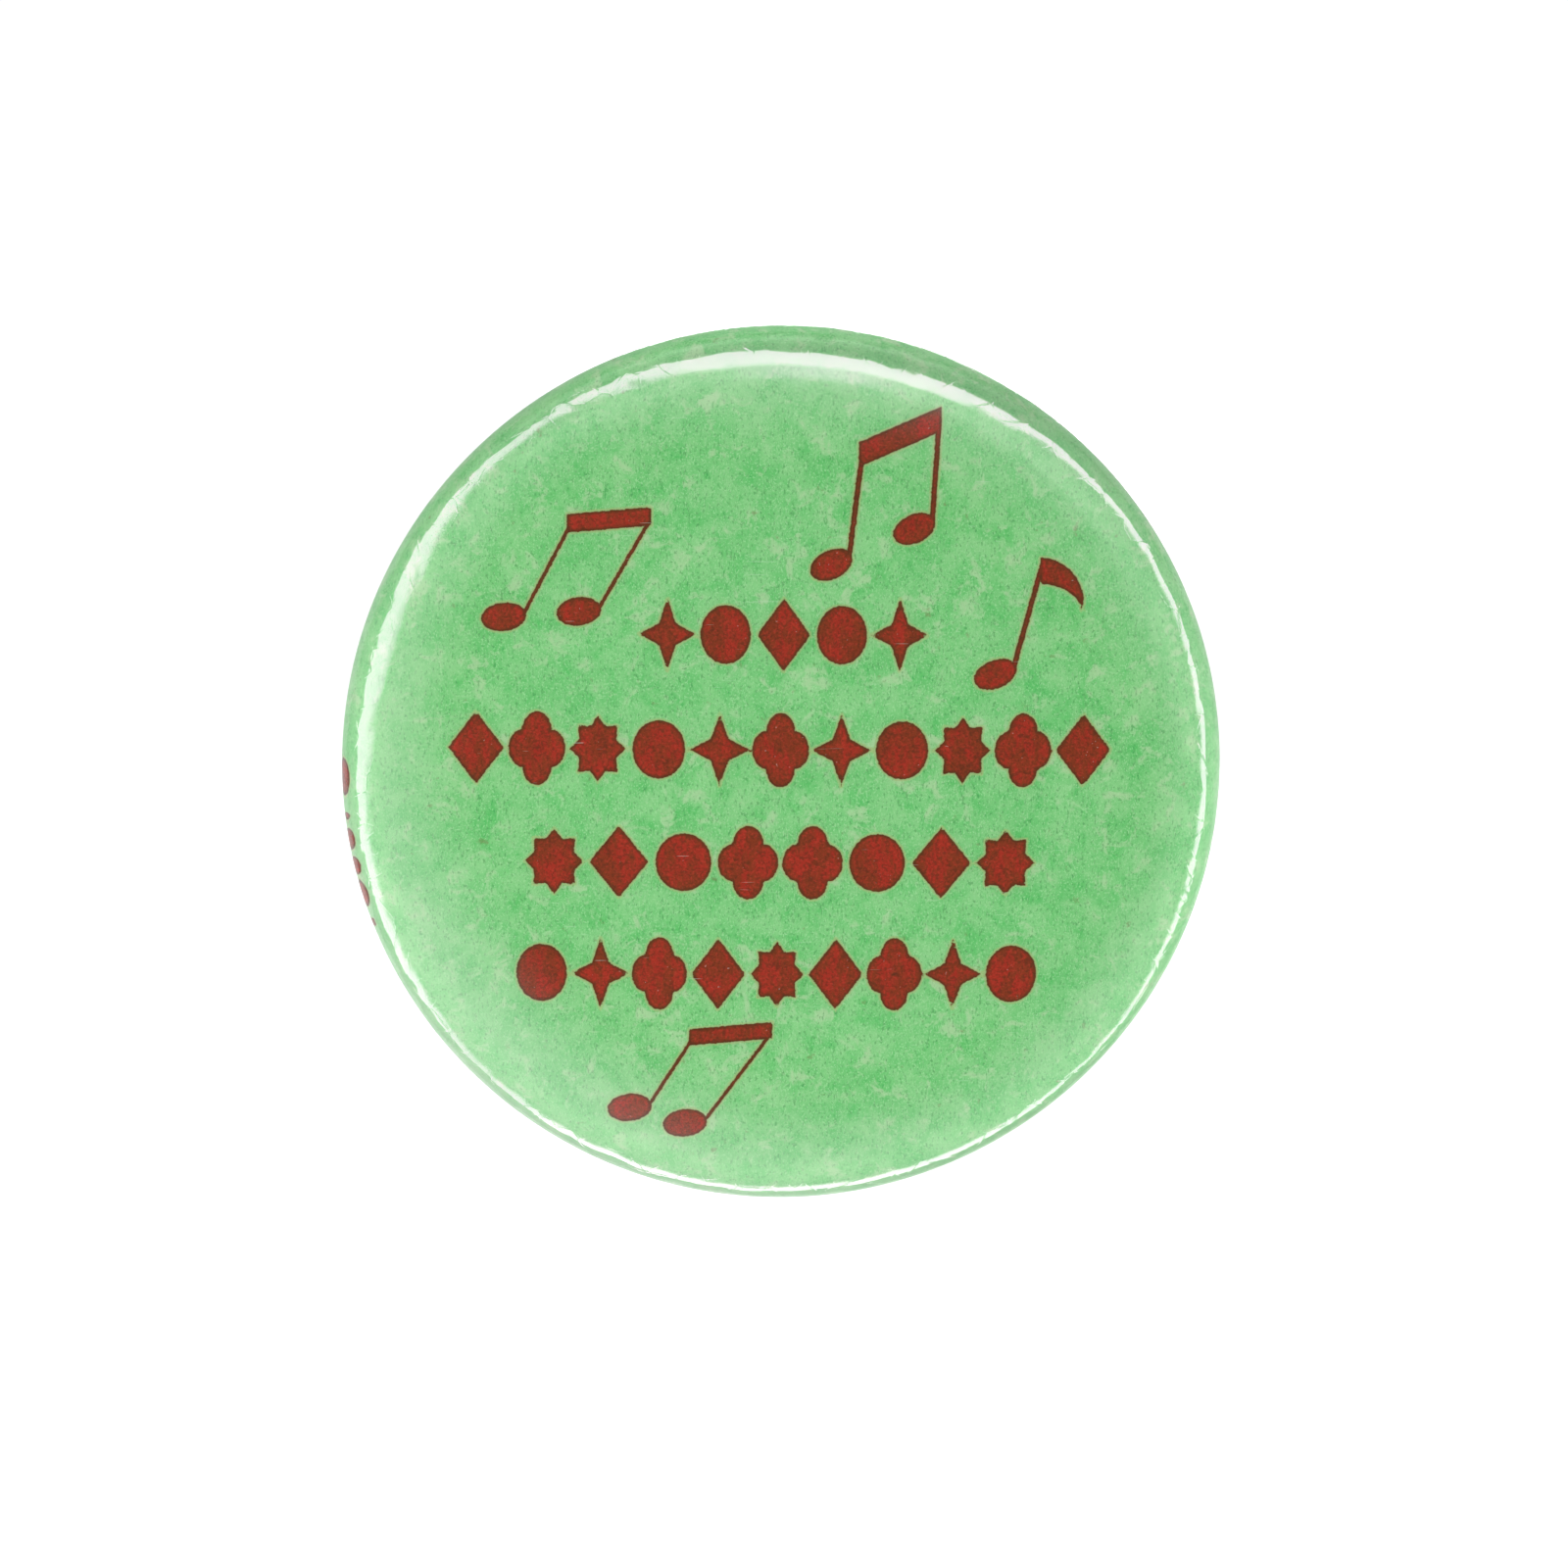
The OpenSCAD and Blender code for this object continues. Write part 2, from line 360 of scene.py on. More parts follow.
class Nodes:
    """A material's node tree, with one short call for each kind of node that is used here."""

    def __init__(self, name):
        self.material = bpy.data.materials.new(name)
        self.material.use_nodes = True
        self.tree = self.material.node_tree
        self.tree.nodes.clear()
        self.output = self.add("ShaderNodeOutputMaterial")
        self.place = self.add("ShaderNodeTexCoord").outputs["Object"]

    def add(self, kind, **settings):
        node = self.tree.nodes.new(kind)
        for key, value in settings.items():
            setattr(node, key, value)
        return node

    def feed(self, socket, value):
        """A number, colour or another node's output goes into a socket."""
        if isinstance(value, bpy.types.NodeSocket):
            self.tree.links.new(value, socket)
        elif hasattr(value, "__len__") and len(value) == 3 and len(socket.default_value) == 4:
            socket.default_value = (*value, 1)
        else:
            socket.default_value = value

    def noise(self, size_mm, detail=2.0, roughness=0.5, stretch=(1, 1, 1), shift=0.0, distortion=0.0):
        """Noise whose blobs are about size_mm across. stretch makes them longer along an axis."""
        mapping = self.add("ShaderNodeMapping")
        self.feed(mapping.inputs["Vector"], self.place)
        mapping.inputs["Location"].default_value = (shift, shift * 0.7, -shift)
        mapping.inputs["Scale"].default_value = tuple(1 / (size_mm * MM * s) for s in stretch)
        node = self.add("ShaderNodeTexNoise")
        self.feed(node.inputs["Vector"], mapping.outputs["Vector"])
        node.inputs["Scale"].default_value = 1.0
        node.inputs["Detail"].default_value = detail
        node.inputs["Roughness"].default_value = roughness
        node.inputs["Distortion"].default_value = distortion
        return node.outputs["Fac"]

    def cracks(self, size_mm, width):
        """Thin lines round cells about size_mm across. width is a share of the cells' size."""
        scaled = self.add("ShaderNodeVectorMath", operation="SCALE")
        self.feed(scaled.inputs[0], self.place)
        scaled.inputs["Scale"].default_value = 1 / (size_mm * MM)
        node = self.add("ShaderNodeTexVoronoi", feature="DISTANCE_TO_EDGE")
        self.feed(node.inputs["Vector"], scaled.outputs["Vector"])
        node.inputs["Scale"].default_value = 1.0
        return self.ramp(node.outputs["Distance"], width, 0)

    def ramp(self, value, low, high, to_low=0.0, to_high=1.0):
        node = self.add("ShaderNodeMapRange", interpolation_type="SMOOTHSTEP")
        for socket, number in zip(node.inputs, (value, low, high, to_low, to_high)):
            self.feed(socket, number)
        return node.outputs["Result"]

    def math(self, operation, a, b=0.0):
        node = self.add("ShaderNodeMath", operation=operation)
        self.feed(node.inputs[0], a)
        self.feed(node.inputs[1], b)
        return node.outputs[0]

    def mix(self, share, a, b, blend="MIX"):
        node = self.add("ShaderNodeMix", data_type="RGBA", blend_type=blend)
        self.feed(node.inputs[0], share)
        self.feed(node.inputs[6], a)
        self.feed(node.inputs[7], b)
        return node.outputs[2]

    def bump(self, height, distance_mm, strength=1.0, onto=None):
        node = self.add("ShaderNodeBump")
        if onto:
            self.feed(node.inputs["Normal"], onto)
        self.feed(node.inputs["Height"], height)
        node.inputs["Distance"].default_value = distance_mm * MM
        node.inputs["Strength"].default_value = strength
        return node.outputs["Normal"]

    def shader(self, kind, **values):
        node = self.add(kind)
        for key, value in values.items():
            self.feed(node.inputs[key.replace("_", " ")], value)
        return node.outputs[0]

    def finish(self, shader):
        self.tree.links.new(shader, self.output.inputs["Surface"])
        return self.material


def srgb(r, g, b):
    """A colour picked in 8-bit screen values, as the linear values that shaders use."""
    return tuple(c / 255 / 12.92 if c <= 10 else ((c / 255 + 0.055) / 1.055) ** 2.4 for c in (r, g, b))


# Materials

# The film is smooth up to the first of these leans and fully wavy from the second one on, in degrees
FLAT_UP_TO, ROUND_FROM = 5.6, 14


def paper_material():
    """Green parchment paper, cloudy and flecked, with reddish brown ink that sits a little unevenly."""
    n = Nodes("parchment_print")
    clouds = n.noise(1.9, 6, 0.72, distortion=0.3)
    green = n.mix(n.ramp(clouds, 0.33, 0.67), srgb(108, 213, 123), srgb(161, 227, 160))
    cream = n.noise(1.35, 5, 0.68, shift=5.0, distortion=0.5)
    green = n.mix(n.ramp(cream, 0.53, 0.66, 0, 0.85), green, srgb(201, 230, 188))
    fibres = n.noise(0.3, 3, 0.7, stretch=(1, 1, 2.6), shift=17.0, distortion=1.2)
    green = n.mix(n.ramp(fibres, 0.35, 0.65, 0, 0.3), green, srgb(178, 231, 172))
    specks = n.noise(0.13, 2, 0.6, stretch=(1, 1, 2.2), shift=11.0)
    green = n.mix(n.ramp(specks, 0.56, 0.68, 0, 0.52), green, srgb(66, 158, 84))
    grain = n.noise(0.09, 1, 0.6, stretch=(1, 1, 1.6), shift=29.0)
    green = n.mix(n.ramp(grain, 0.54, 0.7, 0, 0.65), green, srgb(196, 240, 190))
    brown = n.noise(0.8, 3, 0.6, shift=23.0)
    green = n.mix(n.ramp(brown, 0.66, 0.78, 0, 0.5), green, srgb(140, 130, 80))

    patches = n.noise(0.8, 4, 0.65, stretch=(1, 1, 2.4), shift=31.0)
    red = n.mix(n.ramp(patches, 0.42, 0.6), srgb(158, 66, 26), srgb(194, 56, 34))
    red = n.mix(n.ramp(n.noise(0.17, 2, 0.65, shift=37.0), 0.48, 0.64, 0, 0.6), red, srgb(216, 72, 48))
    red = n.mix(n.ramp(n.noise(0.18, 2, 0.65, shift=41.0), 0.48, 0.62, 0, 0.65), red, srgb(108, 54, 20))
    red = n.mix(n.ramp(n.noise(0.2, 1, 0.5, shift=43.0), 0.76, 0.8, 0, 0.6), red, srgb(226, 190, 178))

    fade_and_painted_light = n.add("ShaderNodeAttribute", attribute_name="fade_and_painted_light").outputs["Fac"]
    attribute = n.add("ShaderNodeAttribute", attribute_name="ink_distance")
    across = n.add("ShaderNodeAttribute", attribute_name="stem_across").outputs["Fac"]
    half = n.add("ShaderNodeAttribute", attribute_name="stem_half").outputs["Fac"]
    beyond = n.add("ShaderNodeAttribute", attribute_name="stem_beyond").outputs["Fac"]
    stem = n.math("MAXIMUM", n.math("SUBTRACT", n.math("ABSOLUTE", across), half), beyond)
    rag = n.math("MULTIPLY", n.math("SUBTRACT", n.noise(0.25, 3, 0.7, shift=47.0), 0.5), 0.2)
    away = n.math("ADD", n.math("MINIMUM", attribute.outputs["Fac"], stem), rag)
    halo = n.ramp(away, 0.17, 0.07, 0, 0.75)
    edge = n.ramp(away, -0.26, -0.06, 0, 0.85)
    inked = n.ramp(away, 0.035, -0.035)
    green = n.mix(halo, green, srgb(192, 212, 146))
    red = n.mix(edge, red, srgb(104, 58, 20))
    # Painted light as well as fading: the paper and ink are whitened where the rim is lit more strongly and mirrors the
    # bright surroundings, at the left, below and at the upper right.
    green = n.mix(fade_and_painted_light, green, srgb(246, 252, 244))
    red = n.mix(n.math("MULTIPLY", fade_and_painted_light, 0.15), red, srgb(238, 214, 206))
    # Pale hair-lines: scratches in the film, painted onto the paper as the light they catch, a painted glint.
    scratch_glints = n.noise(0.11, 1, 0.5, stretch=(34, 1, 1), shift=67.0)
    colour = n.mix(inked, green, red)
    colour = n.mix(n.ramp(scratch_glints, 0.77, 0.8, 0, 0.35), colour, srgb(226, 240, 222))
    normal = n.bump(n.noise(0.3, 3, 0.6, shift=53.0), 0.01, 0.6)
    return n.finish(n.shader("ShaderNodeBsdfPrincipled", Base_Color=colour, Roughness=0.75, Normal=normal))


def film_material():
    """Clear glossy film: what is behind it shows, and it mirrors the lights.

    Light that leaves the paper at a slant is kept in, as in a real film, but what is seen through its edge isn't.
    How much the face mirrors at a slant is held back, so that it keeps its print when it is seen from the side."""
    n = Nodes("clear_film_gloss")
    lean = n.add("ShaderNodeAttribute", attribute_name="lean").outputs["Fac"]
    swell = n.math("SUBTRACT", n.noise(4.0, 2, 0.5, shift=61.0), 0.5)
    swell = n.bump(n.math("MULTIPLY", swell, n.ramp(lean, FLAT_UP_TO, ROUND_FROM, 0.14, 1)), 0.075)
    ripple = n.math("SUBTRACT", n.noise(1.3, 4, 0.62, shift=3.0), 0.5)
    ripple = n.bump(n.math("MULTIPLY", ripple, n.ramp(lean, FLAT_UP_TO, ROUND_FROM, 0.25, 1)), 0.008, onto=swell)
    normal = n.bump(n.math("MULTIPLY", n.cracks(1.7, 0.05), n.ramp(lean, 14, 22)), 0.006, onto=ripple)
    clear = n.shader("ShaderNodeBsdfTransparent", Color=(0.985, 0.99, 0.985))
    gloss = n.shader("ShaderNodeBsdfPrincipled", Base_Color=(1, 1, 1), Metallic=1.0, Roughness=0.06, Normal=normal)
    fresnel = n.add("ShaderNodeFresnel")
    fresnel.inputs["IOR"].default_value = 1.64
    mixed = n.add("ShaderNodeMixShader")
    behind = n.add("ShaderNodeNewGeometry").outputs["Backfacing"]
    path = n.add("ShaderNodeLightPath")
    lighting = n.math("MAXIMUM", path.outputs["Is Shadow Ray"], path.outputs["Is Diffuse Ray"])
    kept_in = n.math("MULTIPLY", n.math("MULTIPLY", fresnel.outputs[0], behind), lighting)
    most = n.ramp(lean, 25, 74, 0.062, 0.4)
    mirrored = n.math("MULTIPLY", n.math("MINIMUM", fresnel.outputs[0], most), n.math("SUBTRACT", 1, behind))
    n.feed(mixed.inputs[0], n.math("MAXIMUM", mirrored, kept_in))
    n.feed(mixed.inputs[1], clear)
    n.feed(mixed.inputs[2], gloss)
    return n.finish(mixed.outputs[0])


def film_inside_material():
    """The film's glued side, which mirrors nothing."""
    n = Nodes("clear_film_glued_side")
    return n.finish(n.shader("ShaderNodeBsdfTransparent", Color=(1, 1, 1)))


def tinplate_material():
    """Rolled tinplate: soft sheen, faint rolling lines, blotchy tin and small marks."""
    n = Nodes("tinplate")
    rolling = n.noise(0.12, 3, 0.7, stretch=(60, 1, 1), shift=2.0)
    blotch = n.noise(6.0, 4, 0.6, shift=9.0)
    marks = n.noise(0.5, 4, 0.7, shift=13.0, distortion=2.0)
    colour = n.mix(n.ramp(blotch, 0.35, 0.65), srgb(178, 179, 175), srgb(198, 198, 193))
    colour = n.mix(n.ramp(marks, 0.66, 0.76, 0, 0.5), colour, srgb(140, 132, 118))
    rough = n.math("ADD", n.ramp(blotch, 0.3, 0.7, 0.24, 0.34), n.ramp(rolling, 0.3, 0.7, -0.05, 0.05))
    normal = n.bump(rolling, 0.004, 0.5)
    return n.finish(n.shader("ShaderNodeBsdfPrincipled", Base_Color=colour, Metallic=1.0,
                             Roughness=rough, Normal=normal))


def nickel_material(name, stretch):
    """Bright nickel plate with fine drawing or stamping lines and slightly dulled patches."""
    n = Nodes(name)
    lines = n.noise(0.06, 3, 0.7, stretch=stretch, shift=4.0)
    dull = n.noise(1.4, 4, 0.65, shift=8.0)
    colour = n.mix(n.ramp(dull, 0.4, 0.7), srgb(214, 211, 203), srgb(194, 189, 178))
    rough = n.math("ADD", n.ramp(dull, 0.35, 0.75, 0.12, 0.3), n.ramp(lines, 0.3, 0.7, -0.03, 0.05))
    normal = n.bump(lines, 0.003, 0.6)
    return n.finish(n.shader("ShaderNodeBsdfPrincipled", Base_Color=colour, Metallic=1.0,
                             Roughness=rough, Normal=normal))


# Pieces

def ripples(angle, arc, low, high, slant, count):
    """An even mix of waves round the badge, from low to high waves a turn, between about -1 and 1.

    Each runs down the rim at its own slant, up to so many radians a mm."""
    total = np.zeros(np.broadcast(angle, arc).shape)
    for waves in RANDOM.integers(low, high, count):
        phase = RANDOM.uniform(-slant, slant) * arc + RANDOM.uniform(0, 2 * math.pi)
        total += RANDOM.uniform(0.4, 1) * np.sin(waves * angle + phase)
    return total / (0.45 * count)


def film_sink(rows, spokes):
    """How far the film's outside is drawn in by its waves, pleats and creases, in mm. arc is the way along the
    section from where the shoulder starts, in mm."""
    angle = spoke_angles(spokes)[None, :]
    arc = (rows[:, 3:4] - SHOULDER_LEAN) * np.where(rows[:, 3:4] < SHOULDER_LEAN, DOME_R, SHOULDER_R)
    waves = 0.5 + 0.5 * ripples(angle, arc, 16, 56, 2.0, 11)
    pleats = 0.5 + 0.5 * ripples(angle, arc, 110, 240, 1.5, 9)
    sink = 0.055 * waves * smooth_step(0, 0.9, arc) * (1 - 0.6 * smooth_step(2.2, 4.4, arc))
    sink = sink + 0.008 * pleats * smooth_step(0, 3.0, arc)
    for _ in range(90):
        at, slant, width = RANDOM.uniform(0, 2 * math.pi), RANDOM.uniform(-2.2, 2.2), RANDOM.uniform(0.3, 0.8)
        start, length, depth = RANDOM.uniform(0.3, 1.1), RANDOM.uniform(0.8, 2.6), RANDOM.uniform(0.004, 0.014)
        off = ((angle - at + math.pi) % (2 * math.pi) - math.pi) * BADGE_R - slant * (arc - start)
        end = start + length
        share = smooth_step(start - 0.3, start + 0.1, arc) * (1 - smooth_step(end, end + 0.6, arc))
        sink = sink + depth * np.exp(-(off / width) ** 2) * share
    return np.clip(sink, 0, 0.085)


def make_film():
    spokes = 720
    outer = section(32, 44, 14, FILM_TUCK)
    inner = section(6, 6, 8, FILM_TUCK)[::-1]
    rings = np.concatenate([
        rings_at(outer, film_sink(outer, spokes), spokes),
        rings_at(inner, FILM_T, spokes),
    ])
    points, faces = lathe(rings, pole_at(0), pole_at(FILM_T))
    film = new_piece("film", points, faces, film_material(), "badge")
    film.data.materials.append(film_inside_material())
    inside = np.zeros(len(film.data.polygons), np.int32)
    ring_of = np.arange((len(rings) - 1) * spokes) // spokes
    inside[:len(ring_of)] = ring_of >= len(outer) - 1
    inside[len(ring_of) + 1::2] = 1
    film.data.polygons.foreach_set("material_index", inside)
    lean = np.zeros(len(points), np.float32)
    lean[1:1 + len(outer) * spokes] = np.repeat(np.degrees(outer[:, 3]), spokes)
    film.data.attributes.new("lean", "FLOAT", "POINT").data.foreach_set("value", lean)
    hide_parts("clear_film")
    return film


def fade_and_painted_light_share(rows, spokes):
    """How far the paper is painted paler, most towards the rim at the left, below and at the upper right. This is
    partly a faded print, and partly painted light and a painted reflection of the bright surroundings where the rim is
    lit more strongly.
    """
    angle = np.degrees(spoke_angles(spokes))[None, :]
    r = (rows[:, 0] + (rows[:, 2] - PAPER_AT) * np.sin(rows[:, 3]))[:, None]
    near = np.maximum.reduce([0.88 * lobe(angle, 232, 78), 0.6 * lobe(angle, 66, 62), 0.45 * lobe(angle, 318, 30)])
    share = (0.06 + 0.16 * near) * smooth_step(23.5 - 6 * near, 27 - near, r)
    share = share + 0.24 * lobe(angle, 248, 72) * smooth_step(27.2, 28, r)
    return share * (1 - 0.4 * smooth_step(27.6, 28.3, r) * (1 - lobe(angle, 235, 75)))


def make_paper():
    spokes = 480
    outer = section(104, 24, 26, PAPER_TUCK)
    inner = section(10, 8, 10, PAPER_TUCK)[::-1]
    front = rings_at(outer, PAPER_AT, spokes)
    rings = np.concatenate([front, rings_at(inner, PAPER_AT + PAPER_T, spokes)])
    points, faces = lathe(rings, pole_at(PAPER_AT), pole_at(PAPER_AT + PAPER_T))
    paper = new_piece("paper", points, faces, paper_material(), "badge")
    distance = np.full(len(points), FAR)
    distance[0] = ink_distance(np.zeros(1), np.zeros(1))[0]
    drawn = ink_distance(front[..., 0] / MM, front[..., 2] / MM)
    past_face = outer[:, 3:4] > math.radians(FACE_PRINT_END)
    drawn = np.where(past_face, FAR, drawn)
    distance[1:1 + drawn.size] = np.minimum(drawn, rim_dots(outer, spokes)).ravel()
    fade_and_painted_light = np.zeros(len(points))
    fade_and_painted_light[1:1 + drawn.size] = fade_and_painted_light_share(outer, spokes).ravel()
    across, halves, beyond = np.zeros(len(points)), np.zeros(len(points)), np.full(len(points), FAR)
    lines = stem_lines(front[..., 0] / MM, front[..., 2] / MM)
    across[1:1 + drawn.size] = lines[0].ravel()
    halves[1:1 + drawn.size] = lines[1].ravel()
    beyond[1:1 + drawn.size] = np.where(past_face, FAR, lines[2]).ravel()
    painted = {"ink_distance": distance, "stem_across": across, "stem_half": halves, "stem_beyond": beyond,
               "fade_and_painted_light": fade_and_painted_light}
    for name, values in painted.items():
        attribute = paper.data.attributes.new(name, "FLOAT", "POINT")
        attribute.data.foreach_set("value", values.astype(np.float32))
    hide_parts("printed_paper")


def dress_cad_nodes():
    """The CAD nodes that stay as they are get their materials."""
    tin = tinplate_material()
    for name in ("front_shell", "back_plate"):
        node = frame["nodes"][name]
        node.data.materials.clear()
        node.data.materials.append(tin)
    cap = frame["nodes"]["pin_cap"]
    cap.data.materials.clear()
    cap.data.materials.append(nickel_material("nickel_sheet", (20, 1, 1)))


def joint(name):
    return next(j for j in frame["joints"] if j["name"] == name)


def make_pin_wire():
    """The safety pin's one wire: fixed leg, coil and needle."""
    leg_low, leg_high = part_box("pin_wire")
    needle_low, needle_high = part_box("pin_needle")
    leg_at = Vector(joint("pin_tilt")["pos_m"])
    coil_at = Vector(joint("needle_open")["pos_m"])
    wire_r = (leg_high.y - leg_low.y) / 2
    needle_y = (needle_low.y + needle_high.y) / 2
    coil_r = leg_at.z - coil_at.z
    shank_r = 0.42 * MM
    tip_r = 0.05 * MM
    root_x, shank_x, taper_x = (x * MM for x in (-13.6, -12.4, 12.4))
    centres, radii, shares = [], [], []

    def add(x, y, z, radius, share):
        centres.append((x, y, z))
        radii.append(radius)
        shares.append(share)

    for x, radius in ((leg_high.x, 0.6), (leg_high.x - 0.05 * MM, 0.85), (leg_high.x - 0.15 * MM, 1)):
        add(x, leg_at.y, leg_at.z, wire_r * radius, 0)
    for x in np.linspace(leg_high.x - 1 * MM, coil_at.x, 40):
        add(x, leg_at.y, leg_at.z, wire_r, 0)
    for share in np.linspace(0, 1, 145)[1:]:
        turn = math.radians(90 + 540 * share)
        rise = smooth_step(270, 450, 90 + 540 * share)
        add(coil_at.x + coil_r * math.cos(turn), leg_at.y + (needle_y - leg_at.y) * rise,
            coil_at.z + coil_r * math.sin(turn), wire_r, share)
    needle_z = coil_at.z - coil_r
    for x in np.linspace(coil_at.x, root_x, 5)[1:]:
        add(x, needle_y, needle_z, wire_r, 1)
    for x in np.linspace(shank_x, taper_x, 30):
        add(x, needle_y, needle_z, shank_r, 1)
    for share in np.linspace(0, 1, 24)[1:]:
        add(taper_x + (needle_high.x - taper_x) * share, needle_y, needle_z,
            shank_r + (tip_r - shank_r) * share ** 1.25, 1)

    centres = np.array(centres)
    along = np.gradient(centres, axis=0)
    along /= np.linalg.norm(along, axis=1)[:, None]
    up = np.array([0, 1.0, 0]) - along * along[:, 1:2]
    up /= np.linalg.norm(up, axis=1)[:, None]
    side = np.cross(along, up)
    sides = 28
    around = spoke_angles(sides)[None, :, None]
    reach = np.array(radii)[:, None, None]
    rings = centres[:, None] + reach * (np.cos(around) * up[:, None] + np.sin(around) * side[:, None])
    points, faces = lathe(rings, centres[0], centres[-1])
    wire = new_piece("wire", points, faces, nickel_material("nickel_wire", (40, 1, 1)), None)
    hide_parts("pin_wire", "pin_needle")
    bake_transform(wire)


# Stage

def lamp(name, at, size, power, shines):
    """A soft rectangular lamp. The camera doesn't see it, and gloss mirrors it only if it shines."""
    light = bpy.data.lights.new(name, "AREA")
    light.shape = "RECTANGLE"
    light.size, light.size_y = size
    light.energy = power
    placed_lamp = bpy.data.objects.new(name, light)
    bpy.context.scene.collection.objects.link(placed_lamp)
    placed_lamp.location = at
    placed_lamp.rotation_euler = (-Vector(at)).to_track_quat("-Z", "Y").to_euler()
    placed_lamp.visible_camera = False
    placed_lamp.visible_glossy = shines


def tent_glow(r, angle):
    """The light tent's brightness where the film mirrors it, r mm from the badge's middle at an angle in degrees.

    The tent is dark in the middle, soft and pale round that, and has one bright band that makes the rim's line. middle,
    half and peak are the band's radius, half width and brightness."""
    low_left, top = lobe(angle, 215, 65), lobe(angle, 90, 24)
    middle = (27.48 - 1.02 * lobe(angle, 83, 29) - 0.5 * lobe(angle, 165, 20) - 0.17 * lobe(angle, 5, 25)
              + 0.1 * lobe(angle, 235, 40) + 0.12 * lobe(angle, 323, 9) - 0.2 * (1 - lobe(angle, 280, 60)))
    half = (0.21 + 0.42 * lobe(angle, 88, 25) + 0.36 * lobe(angle, 166, 22)
            + 0.14 * lobe(angle, 145, 10) + 0.12 * lobe(angle, 206, 12) - 0.08 * lobe(angle, 318, 14))
    peak = (8.5 - 5 * lobe(angle, 225, 9) - 1.4 * lobe(angle, 128, 14) - 1.4 * lobe(angle, 170, 30)
            - 0.8 * lobe(angle, 210, 12) - 3 * lobe(angle, 320, 13))
    band = peak * smooth_step(middle - 1.15 * half, middle + 0.1 * half, r)
    band = band * (1 - smooth_step(middle + 0.9 * half, middle + 1.1 * half, r))
    near = np.maximum(low_left, top)
    veil = (0.7 + 0.6 * low_left) * smooth_step(24 - 5 * near, 27, r)
    side = 0.4 + 0.25 * lobe(angle, 235, 55) + 0.7 * lobe(angle, 0, 20)
    side = side + 0.9 * lobe(angle, 90, 38) * np.exp(-((r - 27.76) / 0.12) ** 2)
    side = side * (1 - lobe(angle, 90, 60) * smooth_step(27.8, 27.98, r))
    outside = smooth_step(middle + 0.8 * half, middle + 1.2 * half, r)
    edge = 1.1 * lobe(angle, 78, 36) * smooth_step(25, 25.7, r)
    return band + (veil + edge) * (1 - outside) + side * outside


def light_tent(film):
    """A bent screen in front of the badge. Each point of it is where the film there mirrors the camera's ray.

    Its bright band is a little short of green, so that it reads as white over the green print. Only the film
    mirrors it."""
    reach, columns, last_lean = 90 * MM, 180, math.radians(56.5)
    dome_end = DOME_R * math.sin(SHOULDER_LEAN)
    leans = [math.asin(r / DOME_R) for r in np.linspace(0.5, dome_end, 24)]
    leans += list(np.linspace(SHOULDER_LEAN, last_lean, 70)[1:])
    angles = np.arange(columns) * 360 / columns
    points, glow = [], []
    for lean in leans:
        on_dome = lean <= SHOULDER_LEAN
        radius = DOME_R if on_dome else SHOULDER_R
        r = (0 if on_dome else BADGE_R - SHOULDER_R) + radius * math.sin(lean)
        h = (BADGE_H - DOME_R if on_dome else SHOULDER_H) + radius * math.cos(lean)
        glow.extend(tent_glow(r, angles))
        for angle in np.radians(angles):
            out = Vector((math.cos(angle), 0, math.sin(angle)))
            at = (out * r + Vector((0, -h, 0))) * MM
            normal = out * math.sin(lean) + Vector((0, -math.cos(lean), 0))
            seen = (CAMERA_AT - at).normalized()
            points.append(at + (2 * seen.dot(normal) * normal - seen) * reach)
    mesh = bpy.data.meshes.new("light_tent")
    mesh.from_pydata(points, [], ring_faces(len(leans), columns, 0) + [tuple(range(columns))])
    mesh.attributes.new("glow", "FLOAT", "POINT").data.foreach_set("value", np.array(glow, np.float32))
    n = Nodes("tent_glow")
    strength = n.add("ShaderNodeAttribute", attribute_name="glow").outputs["Fac"]
    colour = n.mix(n.ramp(strength, 1.5, 4), (1, 1, 1), (1, 0.66, 0.96))
    mesh.materials.append(n.finish(n.shader("ShaderNodeEmission", Color=colour, Strength=strength)))
    tent = bpy.data.objects.new("light_tent", mesh)
    bpy.context.scene.collection.objects.link(tent)
    tent.visible_camera = False
    tent.visible_diffuse = False
    tent.visible_shadow = False
    mirrors = bpy.data.collections.new("mirrors_the_tent")
    mirrors.objects.link(film)
    tent.light_linking.receiver_collection = mirrors


def floor_material():
    n = Nodes("floor_white")
    return n.finish(n.shader("ShaderNodeBsdfPrincipled", Base_Color=(0.5, 0.5, 0.5), Roughness=0.9,
                             Emission_Color=(1, 1, 1), Emission_Strength=0.76))


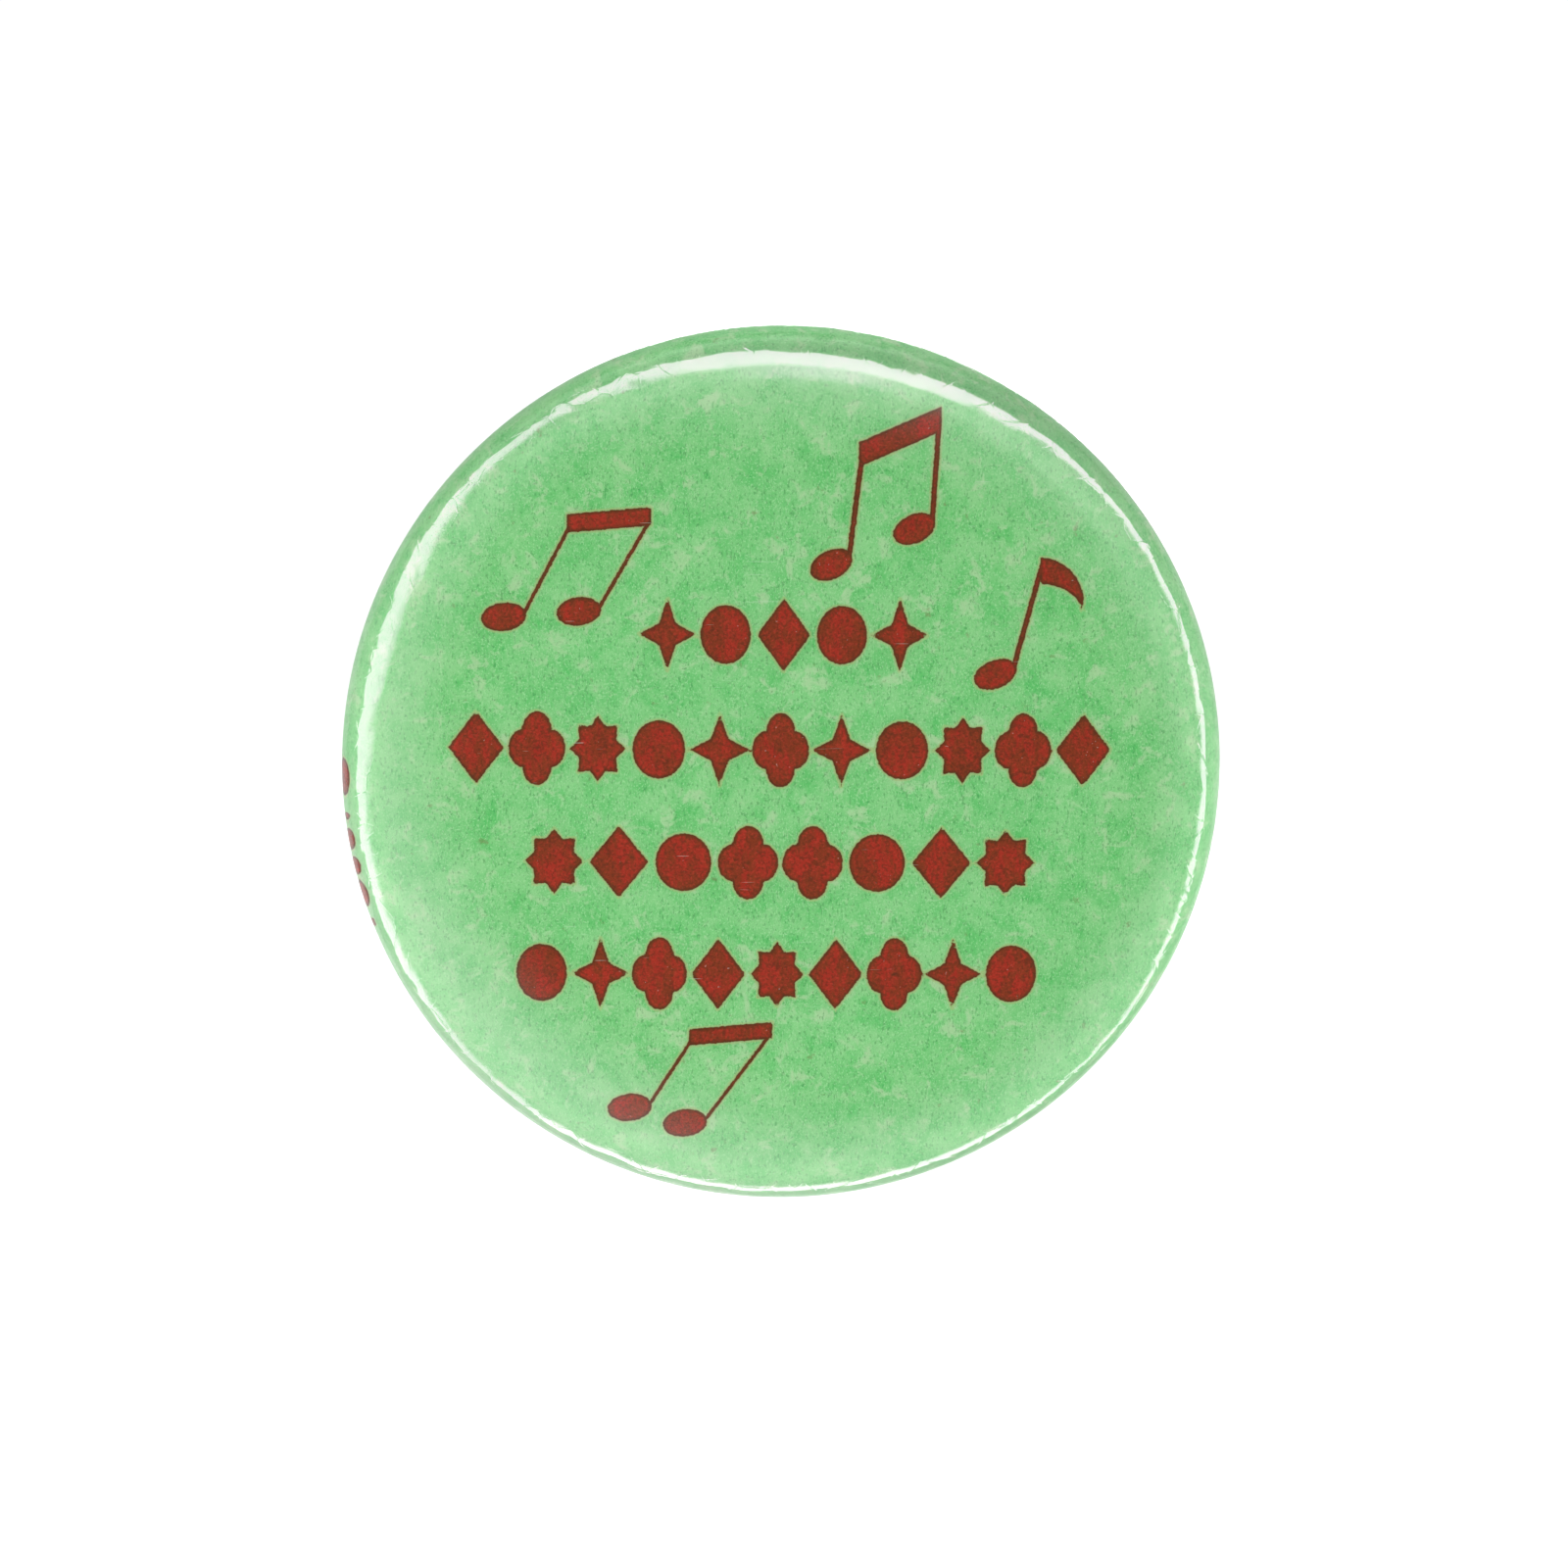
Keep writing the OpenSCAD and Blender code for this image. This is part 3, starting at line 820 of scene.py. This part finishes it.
def make_stage(film):
    floor_r, floor_z = 6.0, -0.15
    mesh = bpy.data.meshes.new("floor")
    rim = [(floor_r * math.cos(a), floor_r * math.sin(a), floor_z) for a in spoke_angles(64)]
    mesh.from_pydata(rim, [], [tuple(range(64))])
    mesh.materials.append(floor_material())
    floor = bpy.data.objects.new("floor", mesh)
    bpy.context.scene.collection.objects.link(floor)
    light_tent(film)
    lamp("key", (-0.4, -1.0, 0.2), (0.8, 0.8), 3.6, False)
    lamp("left", (-0.9, -0.35, 0.05), (0.5, 0.5), 1.5, False)
    lamp("right", (0.9, -0.35, 0.05), (0.5, 0.5), 1.5, False)
    lamp("under", (0, -0.1, -0.13), (0.2, 0.2), 0.055, False)
    lamp("top", (0, -0.25, 0.95), (1.3, 0.4), 4.8, False)
    lamp("fill", (0.7, -0.9, -0.05), (0.8, 0.15), 2, False)
    lamp("back_key", (0.15, 1.1, 0.35), (0.7, 0.7), 4, True)

    world = bpy.data.worlds.new("sky")
    bpy.context.scene.world = world
    world.use_nodes = True
    tree = world.node_tree
    place = tree.nodes.new("ShaderNodeTexCoord")
    split = tree.nodes.new("ShaderNodeSeparateXYZ")
    fade = tree.nodes.new("ShaderNodeMapRange")
    fade.interpolation_type = "SMOOTHSTEP"
    tree.links.new(place.outputs["Generated"], split.inputs[0])
    tree.links.new(split.outputs["Z"], fade.inputs["Value"])
    for key, value in (("From Min", 0.12), ("From Max", 0.75), ("To Min", 1.05), ("To Max", 0.5)):
        fade.inputs[key].default_value = value
    tree.nodes["Background"].inputs["Color"].default_value = (1, 1, 1, 1)
    tree.links.new(fade.outputs[0], tree.nodes["Background"].inputs["Strength"])


def make_camera():
    data = bpy.data.cameras.new("camera")
    data.lens = LENS
    data.sensor_width = SENSOR
    data.clip_start = 0.01
    camera = bpy.data.objects.new("camera", data)
    bpy.context.scene.collection.objects.link(camera)
    camera.location = CAMERA_AT
    camera.rotation_euler = TO_CAMERA.to_track_quat("Z", "Y").to_euler()
    bpy.context.scene.camera = camera


film = make_film()
make_paper()
dress_cad_nodes()
make_pin_wire()
make_stage(film)
make_camera()
bpy.context.scene.view_settings.view_transform = "Standard"
